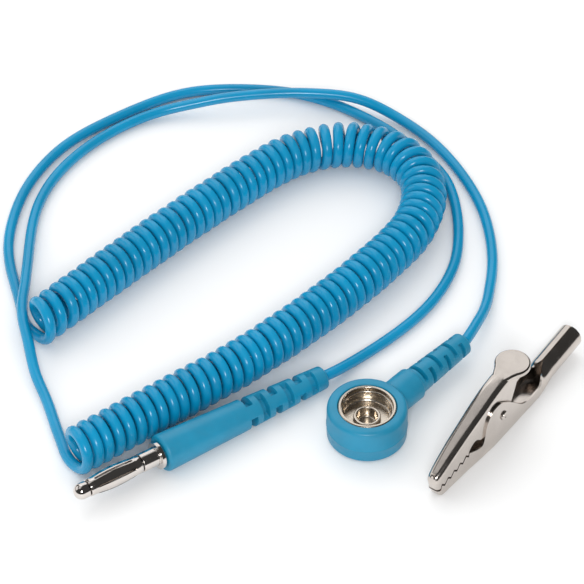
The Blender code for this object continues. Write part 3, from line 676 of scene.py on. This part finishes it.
def cage_cutter(name, reach, middle, finish):
    """A wedge through the cage's wall with the outline of one slot, round at both ends."""
    half_turn = np.linspace(-math.pi / 2, math.pi / 2, 9)
    straight = reach - CAGE_SLOT_HALF
    outline = [(CAGE_SLOT_HALF * math.sin(a), straight + CAGE_SLOT_HALF * math.cos(a)) for a in half_turn]
    outline += [(-x, -z) for x, z in outline]
    near = [(0.8 * MM, x, middle + z) for x, z in outline]
    far = [(3.5 * MM, x * 1.02, middle + z) for x, z in outline]
    count = len(outline)
    faces = [tuple(range(count)), tuple(range(2 * count - 1, count - 1, -1))]
    faces += [(i, (i + 1) % count, (i + 1) % count + count, i + count) for i in range(count)]
    return mesh_object(name, near + far, faces, finish)


def make_cage(finish):
    middle = (CAGE_FRONT + CAGE_REAR) / 2
    reach = middle - CAGE_REAR - 1.3 * MM

    def radius(height):
        ends = BALL_R + 0.1 * MM + 0.1 * MM * (CAGE_FRONT - height) / (CAGE_FRONT - CAGE_REAR)
        inward = max(0.0, 1 - ((height - middle) / reach) ** 2)
        return ends + (CAGE_BULGE_R - ends) * inward ** 1.2

    heights = [CAGE_FRONT, CAGE_FRONT - 0.06 * MM, *np.linspace(middle + reach, middle - reach, 41),
               CAGE_REAR + 0.06 * MM, CAGE_REAR]
    outer = [Vector((radius(h) - (0.05 * MM if h in (CAGE_FRONT, CAGE_REAR) else 0), h)) for h in heights]
    inner = [Vector((radius(h) - CAGE_WALL, h)) for h in reversed(heights)]
    shell = lathe("cage", outer + inner, finish, 144, True)
    cutters = []
    for index in range(CAGE_LEAVES):
        cutter = cage_cutter(f"slot_{index}", reach - 0.3 * MM, middle, finish)
        cutter.data.transform(Matrix.Rotation((index + 0.5) * 2 * math.pi / CAGE_LEAVES, 4, "Z"))
        cutters.append(cutter)
    shell = combine(shell, cutters, "DIFFERENCE")
    shell.data.transform(PLUG_FRAME)
    hand_over(shell, "spring_cage", "banana_spring_cage", 40)


# ---------------------------------------------------------------- crocodile clip


def tooth_line(side):
    """The upper jaw's (side 1) or the lower jaw's (side -1) zigzag edge, as (y, z) points from the front."""
    points = []
    for i in range(TEETH + 1):
        y = TOOTH_FRONT + i * TOOTH_PITCH
        middle = TOOTH_Z + TOOTH_RISE * (y - TOOTH_FRONT)
        points.append((y, middle + side * TOOTH_GAP + (TOOTH_DEPTH if i % 2 else -TOOTH_DEPTH)))
    return points


def behind_teeth(teeth, line):
    """The teeth, and behind them the rest of the jaw's free edge."""
    return teeth + [p for p in line if p[0] > teeth[-1][0] + 0.1 * MM]


def eased(points, passes):
    """A line of (y, z) points, given in millimetres, with its corners cut round."""
    points = [(y * MM, z * MM) for y, z in points]
    for _ in range(passes):
        finer = [points[0]]
        for (ya, za), (yb, zb) in zip(points, points[1:]):
            finer += [(ya * (1 - t) + yb * t, za * (1 - t) + zb * t) for t in (0.25, 0.75)]
        points = finer + [points[-1]]
    return points


def table_at(table, y):
    """The value at y of a table of (y, value) rows in millimetres."""
    return float(np.interp(y / MM, [row[0] for row in table], [row[1] for row in table])) * MM


class Channel:
    """A pressed sheet channel, closed at its nose. A wall runs round its plan, and a roof closes one side."""

    FRONT_R = 0.85 * MM
    ACROSS = 4  # half the number of strips across the roof
    CORNER_STEPS = 6

    def __init__(self, edge, nose, lean, lean_end, widths, roof, corner, crown=0.0):
        self.edge, self.nose, self.lean, self.lean_end = edge, nose, lean, lean_end
        self.widths, self.roof, self.corner, self.crown = widths, roof, corner, crown
        self.side = 1 if edge[0][1] > roof(edge[0][0]) else -1

    def lean_at(self, base):
        return self.lean * smoothstep((self.lean_end - base) / (self.lean_end - self.nose))

    def base_of(self, y, z):
        """The place in the plan of a point on the wall."""
        base = y
        for _ in range(12):
            base = y + self.lean_at(base) * z
        return base

    def roof_at(self, base):
        """The roof's height over a place in the plan."""
        z = self.roof(base)
        for _ in range(12):
            z = self.roof(base - self.lean_at(base) * z)
        return z

    def path(self):
        """Half the plan, from the nose's middle to the tail: place, way inward and the free edge's height."""
        straight = table_at(self.widths, self.nose) - self.FRONT_R
        front_edge = self.edge[0][1]
        rows = [(straight * t, self.nose, 0, 1, front_edge) for t in np.linspace(0, 1, self.ACROSS + 1)]
        for a in np.linspace(0, math.pi / 2, 7)[1:]:
            x, base = straight + self.FRONT_R * math.sin(a), self.nose + self.FRONT_R * (1 - math.cos(a))
            rows.append((x, base, -math.sin(a), math.cos(a), front_edge))
        for y, z in self.edge[1:]:
            base = self.base_of(y, z)
            if base > rows[-1][1] + 0.02 * MM:
                rows.append((table_at(self.widths, base), base, -1, 0, z))
        return rows

    def build(self):
        """(points, faces), with each row of points going from the left free edge to the right one."""
        rows = self.path()
        columns = []
        for x, base, in_x, in_y, edge_z in rows:
            start = self.roof_at(base) + self.side * self.corner
            column = [(x, base, edge_z + (start - edge_z) * t) for t in np.linspace(0, 1, 6)]
            for a in np.linspace(0, math.pi / 2, self.CORNER_STEPS)[1:]:
                reach = self.corner * (1 - math.cos(a))
                place = base + in_y * reach
                height = self.roof_at(place) + self.side * self.corner * (1 - math.sin(a))
                column.append((x + in_x * reach, place, height))
            columns.append(column)
        points, faces, index = [], [], {}

        def add(x, base, z):
            key = (round(x, 9), round(base, 9), round(z, 9))
            if key not in index:
                index[key] = len(points)
                points.append((x, base, z))
            return index[key]

        def quad(*corners):
            found = list(dict.fromkeys(add(*c) for c in corners))
            if len(found) > 2:
                faces.append(tuple(found))

        for mirror in (-1, 1):
            for first, second in zip(columns, columns[1:]):
                for k in range(len(first) - 1):
                    ring = [first[k], first[k + 1], second[k + 1], second[k]]
                    quad(*[(mirror * x, base, z) for x, base, z in ring[::mirror]])
        front = self.ACROSS
        inner = [column[-1] for column in columns]
        strips = [[(-x, b, z) for x, b, z in reversed(inner[1 : front + 1])] + inner[: front + 1]]
        for x, base, z in inner[front + 1 :]:
            strip = []
            for t in np.linspace(-1, 1, 2 * front + 1):
                bulge = self.side * self.crown * (1 - t * t) * min(1, (base - self.nose) / (6 * MM))
                strip.append((x * t, base, z - bulge))
            strips.append(strip)
        for first, second in zip(strips, strips[1:]):
            for k in range(2 * front):
                quad(first[k], first[k + 1], second[k + 1], second[k])
        return [Vector((x, base - self.lean_at(base) * z, z)) for x, base, z in points], faces


def sheet_metal(name, points, faces, finish, outward, flat_end=5 * MM):
    """The points are the sheet's outer face. outward is the way that its flat part faces, up to flat_end."""
    obj = mesh_object(name, points, faces, finish)
    flat = [face for face in obj.data.polygons if face.center.y < flat_end]
    roof = max(flat, key=lambda face: abs(face.normal.z) * face.area)
    if roof.normal.z * outward < 0:
        obj.data.flip_normals()
    thick = obj.modifiers.new("thickness", "SOLIDIFY")
    thick.thickness = SHEET
    thick.offset = -1
    return obj


def curled(points):
    """The tail of the lower jaw rolled round into the barrel, section by section."""
    sections = {}
    for i, p in enumerate(points):
        sections.setdefault(round(p.y / MM, 4), []).append(i)
    for y, members in sections.items():
        share = smoothstep((y - CURL_START) / (BARREL_Y[0] - CURL_START))
        if share <= 0:
            continue
        members.sort(key=lambda i: section_order(points[i]))
        ring = [points[i].copy() for i in members]
        steps = [0.0]
        for a, b in zip(ring, ring[1:]):
            steps.append(steps[-1] + (b - a).length)
        middle = np.interp(y, BARREL_Y, BARREL_Z) + min(0, y - BARREL_Y[0]) * BARREL_SLOPE
        for i, p, run in zip(members, ring, steps):
            angle = (run / steps[-1] - 0.5) * 2 * (math.pi - BARREL_SEAM)
            goal = Vector((BARREL_R * math.sin(angle), y, middle - BARREL_R * math.cos(angle))) * MM
            points[i] = p.lerp(goal, share)
    return points


def section_order(p):
    """Grows from the left free edge, down and across the floor, and up to the right free edge."""
    if p.z > WALL_START:
        return math.copysign(10 + p.z / MM, p.x)
    return p.x / MM


def make_lower_jaw(finish):
    body = [
        (-11.8, 5.3), (-9.6, 4.3), (-8.0, 3.8), (-7.0, 4.0), (-6.6, 5.6), (-6.3, 8.2), (-5.5, 10.2),
        (-4.2, 11.6), (-2.6, 11.95), (-1.0, 11.5), (0.8, 10.2), (3.4, 8.1), (6.4, 5.0), (8.4, 3.5),
        (10.8, 3.0), (13.8, 3.05), (16.2, 3.5), (18.0, 4.3), (19.3, 5.5),
        (20.2, BARREL_EDGE), (BARREL_Y[1], BARREL_EDGE),
    ]
    line = [p for p in eased(body, 3) if p[0] < 20.2 * MM]
    line += [(y * MM, BARREL_EDGE * MM) for y in np.linspace(20.3, BARREL_Y[1], 10)]
    edge = behind_teeth(tooth_line(-1), line)
    widths = [(-21, 1.45), (-12, 1.95), (-7, 2.4), (-3, 2.68), (12, 2.7), (32, 2.7)]
    channel = Channel(edge, -21.0 * MM, LOWER_LEAN, LEAN_END, widths, lambda y: 0.0, 0.55 * MM)
    points, faces = channel.build()
    points = curled(points)
    jaw = sheet_metal("lower_jaw", points, faces, finish, -1)
    place_clip(jaw, "clip", "clip_lower_jaw")


def place_clip(obj, body, node):
    obj = as_mesh(obj)
    obj.data.transform(Matrix.Translation(CLIP_PLACE))
    hand_over(obj, body, node, 40)


def make_upper_jaw(finish):
    top = eased([
        (-23.3, 5.3), (-22.6, 6.3), (-21.5, 7.0), (-18.7, 8.45), (-14.7, 10.25), (-10.7, 11.75),
        (-6.7, 13.2), (-2.7, 14.55), (0.6, 15.25), (3.5, 15.42), (8.0, 15.42),
    ], 3)
    top_y, top_z = zip(*top)
    rear = eased([
        (-11.9, 5.75), (-11.1, 6.6), (-9.8, 7.2), (-8.8, 6.9), (-7.7, 5.8), (-5.6, 5.35), (-2.0, 5.1),
        (1.2, 5.1), (2.6, 5.5), (3.6, 7.4), (5.2, 11.3), (6.2, 14.4),
    ], 3)
    edge = behind_teeth(tooth_line(1), rear)
    widths = [(-22, 1.32), (-18.7, 1.6), (-14.7, 1.8), (-10.7, 1.92), (-6.7, 2.05), (-2.7, 2.1), (10, 2.1)]

    def roof(y):
        return float(np.interp(y, top_y, top_z))

    channel = Channel(edge, -21.5 * MM, UPPER_LEAN, LEAN_END, widths, roof, 1.1 * MM, 0.03 * MM)
    points, faces = channel.build()
    jaw = as_mesh(sheet_metal("upper_jaw", points, faces, finish, 1))
    pad = as_mesh(make_pad(finish, roof))
    both = bmesh.new()
    both.from_mesh(jaw.data)
    both.from_mesh(pad.data)
    both.to_mesh(jaw.data)
    both.free()
    bpy.data.objects.remove(pad)
    place_clip(jaw, "clip_upper", "clip_upper_jaw")


def make_pad(finish, roof):
    """The round thumb pad, slightly dished, with a bent edge and the neck that rises out of the roof."""
    radius, centre, neck_y, disc_y = 3.8, 6.9, 0.9, 4.3
    bend, skirt, across = 0.5, 0.55, 21
    flare_y, flare_half = (neck_y, 1.8, 2.8, 3.6, disc_y), (1.25, 1.75, 2.12, 2.42, 2.85)
    outline = [(np.interp(y, flare_y, flare_half), y) for y in np.linspace(neck_y, 4.1, 12)]
    disc = np.linspace(math.asin((disc_y - centre) / radius), math.pi / 2, 30)
    outline += [(radius * math.cos(a), centre + radius * math.sin(a)) for a in disc]
    outline = np.array(outline)
    heading = np.gradient(outline, axis=0)
    heading[-1] = (-1, 0)
    heading /= np.linalg.norm(heading, axis=1)[:, None]
    # the bent edge, as steps of how far in from the outline and how far down
    corner = np.linspace(0, math.pi / 2, 8)[1:]
    edge = [(bend * (1 - math.sin(a)), bend * (1 - math.cos(a))) for a in corner] + [(0, bend + skirt)]

    def top(y, from_middle):
        dish = 0.16 * min(1.0, from_middle / radius) ** 2 * smoothstep((y - 3.2) / 2.5)
        rise = float(np.interp(y, [neck_y, 2.6], [-0.04, 0.03]))
        return roof(y * MM) / MM + rise + dish

    points = []
    for (half, y), (hx, hy) in zip(outline, heading):
        side = [(half - hy * inward, y + hx * inward, down) for inward, down in edge]
        inner, flat_y = half - hy * bend, y + hx * bend
        flat = [(inner * math.sin(t * math.pi / 2), flat_y, 0) for t in np.linspace(-1, 1, across)]
        for x, py, down in [(-x, py, down) for x, py, down in reversed(side)] + flat + side:
            points.append(Vector((x, py, top(py, math.hypot(x, py - centre)) - down)) * MM)
    wide = across + 2 * len(edge)
    faces = []
    for i in range(len(outline) - 1):
        for k in range(wide - 1):
            a = i * wide + k
            faces.append((a, a + 1, a + wide + 1, a + wide))
    return sheet_metal("thumb_pad", points, faces, finish, 1, math.inf)


def make_rivet(finish):
    """The pivot's rivet, with a low dimpled head outside each ear."""
    outer = rounded([
        (0, 3.0 * MM), (0.42 * MM, 3.0 * MM, 0.15 * MM), (0.62 * MM, 3.14 * MM, 0.12 * MM),
        (0.98 * MM, 3.06 * MM, 0.15 * MM), (1.05 * MM, 2.74 * MM), (0.75 * MM, 2.74 * MM),
    ])
    profile = outer + [Vector((p.x, -p.y)) for p in reversed(outer)]
    rivet = lathe("rivet", profile, finish, 64)
    rivet.data.transform(Matrix.Translation((0, 0, PIVOT_Z)) @ Matrix.Rotation(math.pi / 2, 4, "Y"))
    place_clip(rivet, "clip", "clip_pivot_pin")


def make_spring(finish):
    """The torsion spring, its lower leg on the lower jaw's floor and its upper leg reaching up under the
    thumb pad.
    """
    floor_end = Vector((9.5 * MM, 0.95 * MM - PIVOT_Z))
    pad_end = Vector((5.0 * MM, 14.2 * MM - PIVOT_Z))

    def tangent_angle(point, side):
        return math.atan2(point.y, point.x) + side * math.acos(SPRING_R / point.length)

    start = tangent_angle(floor_end, 1)
    end = tangent_angle(pad_end, -1) + SPRING_TURNS * 2 * math.pi
    path = [Vector((-SPRING_HALF, *floor_end))]
    for share in np.linspace(0, 1, SPRING_STEPS + 1):
        angle = start + (end - start) * share
        across = SPRING_HALF * (2 * share - 1)
        path.append(Vector((across, SPRING_R * math.cos(angle), SPRING_R * math.sin(angle))))
    path.append(Vector((SPRING_HALF, *pad_end)))
    spring = as_mesh(tube("spring", path, WIRE_R, finish, 4))
    centre = CLIP_PLACE + Vector((0, 0, PIVOT_Z))
    spring.data.transform(Matrix.Translation(centre))
    sharpen(spring, 50)
    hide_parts("clip_spring")
    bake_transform(spring)


make_camera()
ARM_FRAME = frame_along(Vector((0, 0, ARM_Z)), ARM_HEADING)
PLUG_FRAME = frame_along(PLUG_PLACE, PLUG_HEADING, PLUG_PITCH)

JACKET = jacket_material()
MOULDING = moulding_material()
NICKEL = nickel_material("nickel_plate", (0.64, 0.585, 0.54), 0.13, 0.24, 0.004 * MM)
BRIGHT = nickel_material("turned_nickel", (0.76, 0.71, 0.67), 0.07, 0.16, 0.003 * MM)
STUD = nickel_material("stud_nickel", (0.78, 0.70, 0.60), 0.2, 0.32, 0.003 * MM)
STEEL = steel_material()
BRASS = hidden_material("tinned_brass", (0.72, 0.6, 0.38), 0.35, 1.0)
COPPER = hidden_material("tinned_copper", (0.7, 0.45, 0.32), 0.4, 1.0)
LACQUER = hidden_material("resistor_lacquer", (0.62, 0.5, 0.34), 0.45, 0.0)

make_cord(JACKET)
make_snap_body(MOULDING)
make_stud_cup(STUD)
make_stud_eyelet(STUD)
make_stud_ring(STUD)
make_plug_body(MOULDING)
make_pin(BRIGHT)
make_cage(BRIGHT)
make_lower_jaw(NICKEL)
make_upper_jaw(NICKEL)
make_rivet(NICKEL)
make_spring(STEEL)

CARRIED = {
    "snap_solder_tag": BRASS, "snap_conductor": COPPER, "plug_conductor": COPPER, "conductor_crimp": BRASS,
    "resistor_body": LACQUER, "resistor_lead_front": COPPER, "resistor_lead_rear": COPPER,
}
for node, finish in CARRIED.items():
    for place in NODES[node].material_slots:
        place.material = finish

# ---------------------------------------------------------------- floor and light


def floor_material():
    made = Surface("floor", (0.93, 0.93, 0.93), 0.6)
    made.vary_colour(made.noise(6, 2), 0.995, 1.005)
    return made.material


def make_stage():
    shape = bmesh.new()
    bmesh.ops.create_grid(shape, x_segments=1, y_segments=1, size=4)
    mesh = bpy.data.meshes.new("floor")
    shape.to_mesh(mesh)
    shape.free()
    mesh.materials.append(floor_material())
    link(bpy.data.objects.new("floor", mesh))


def soft_light(name, place, size, power):
    data = bpy.data.lights.new(name, "AREA")
    data.shape = "RECTANGLE"
    data.size, data.size_y = size
    data.energy = power
    obj = link(bpy.data.objects.new(name, data))
    obj.location = place
    obj.rotation_euler = (Vector(AIM) - Vector(place)).to_track_quat("-Z", "Y").to_euler()


def make_light():
    """A white room, bright on matt surfaces but dim in reflections, which show the four lights in it."""
    world = bpy.data.worlds.new("studio")
    world.use_nodes = True
    tree = world.node_tree
    room = tree.nodes["Background"]
    room.inputs["Color"].default_value = (1, 1, 1, 1)
    strength = tree.nodes.new("ShaderNodeMapRange")
    strength.inputs["To Min"].default_value = ROOM_ON_MATT
    strength.inputs["To Max"].default_value = ROOM_IN_REFLECTIONS
    tree.links.new(tree.nodes.new("ShaderNodeLightPath").outputs["Is Glossy Ray"], strength.inputs["Value"])
    tree.links.new(strength.outputs["Result"], room.inputs["Strength"])
    bpy.context.scene.world = world
    for name, (place, size, power) in LIGHTS.items():
        soft_light(name, place, size, power)
    bpy.context.scene.view_settings.view_transform = "Standard"


make_stage()
make_light()
